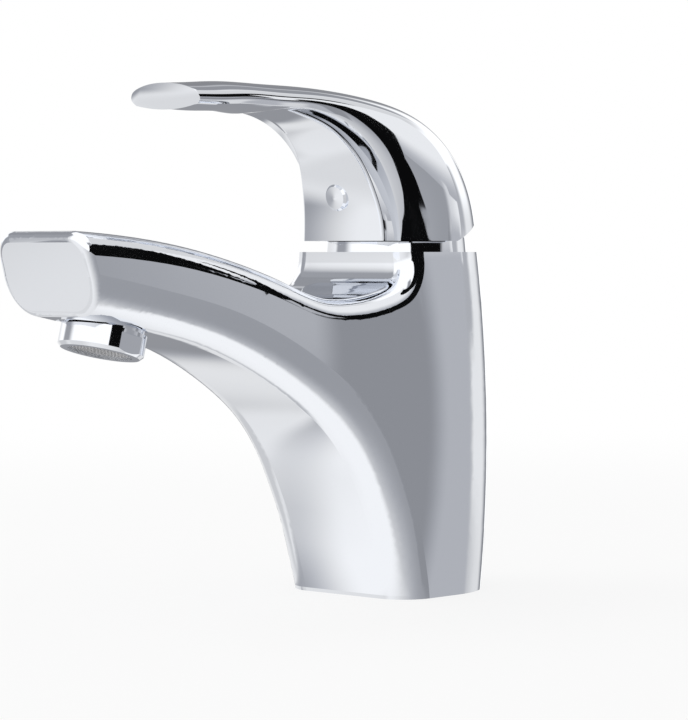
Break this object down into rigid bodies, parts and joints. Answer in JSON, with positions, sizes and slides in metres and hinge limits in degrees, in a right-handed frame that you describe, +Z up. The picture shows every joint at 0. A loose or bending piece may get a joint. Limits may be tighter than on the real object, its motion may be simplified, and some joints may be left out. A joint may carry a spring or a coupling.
{
  "type": "basin mixer tap",
  "caption": "Single-lever basin mixer tap in polished chrome, with a curved lever, a tapering spout, a mesh aerator and a ceramic-disc cartridge.",
  "frame": {"origin": "centre of the base on the deck, on the cartridge axis", "axes": "+Z up along the cartridge axis, spout and lever pointing to -Y, cold side +X"},
  "size_m": [0.052, 0.1623, 0.1411],
  "materials": {
    "white_plastic": "satin",
    "grey_plastic": "satin",
    "chrome": "mirror polish",
    "brass": "machined",
    "steel": "ground",
    "rubber": "matt",
    "ceramic": "lapped"
  },
  "bodies": {
    "tap": {"tap_body": "chrome", "base_gasket": "rubber", "cartridge_base": "white_plastic", "seat_seals": "rubber", "disc_seals": "rubber", "cartridge_housing": "white_plastic", "ceramic_disc_fixed": "ceramic", "limiter_ring": "grey_plastic", "cartridge_nut": "brass", "cap_ring": "chrome", "aerator_housing": "chrome", "aerator_mesh": "steel", "aerator_insert": "white_plastic", "aerator_strainer": "white_plastic", "aerator_seal": "rubber"},
    "swivel": {"stem_guide": "grey_plastic", "guide_ring": "rubber", "pivot_pin": "steel"},
    "lever": {"lever_stem": "brass", "handle": "chrome", "set_screw": "steel", "index_plug": "chrome"},
    "slider": {"ceramic_disc_moving": "ceramic", "disc_carrier": "grey_plastic"}
  },
  "joints": [
    {"name": "handle_swivel", "type": "hinge", "parent": "tap", "child": "swivel", "pos_m": [0, 0, 0.0928], "axis": [0, 0, 1], "range_deg": [-45, 45]},
    {"name": "handle_lift", "type": "hinge", "parent": "swivel", "child": "lever", "pos_m": [0, 0, 0.0928], "axis": [-1, 0, 0], "range_deg": [0, 22]},
    {"name": "disc_slide", "type": "slide", "parent": "swivel", "child": "slider", "axis": [0, -1, 0], "range_m": [0, 0.0042]}
  ],
  "couplings": [
    {"joint": "disc_slide", "follows": "handle_lift", "m_per_rad": 0.010932}
  ]
}
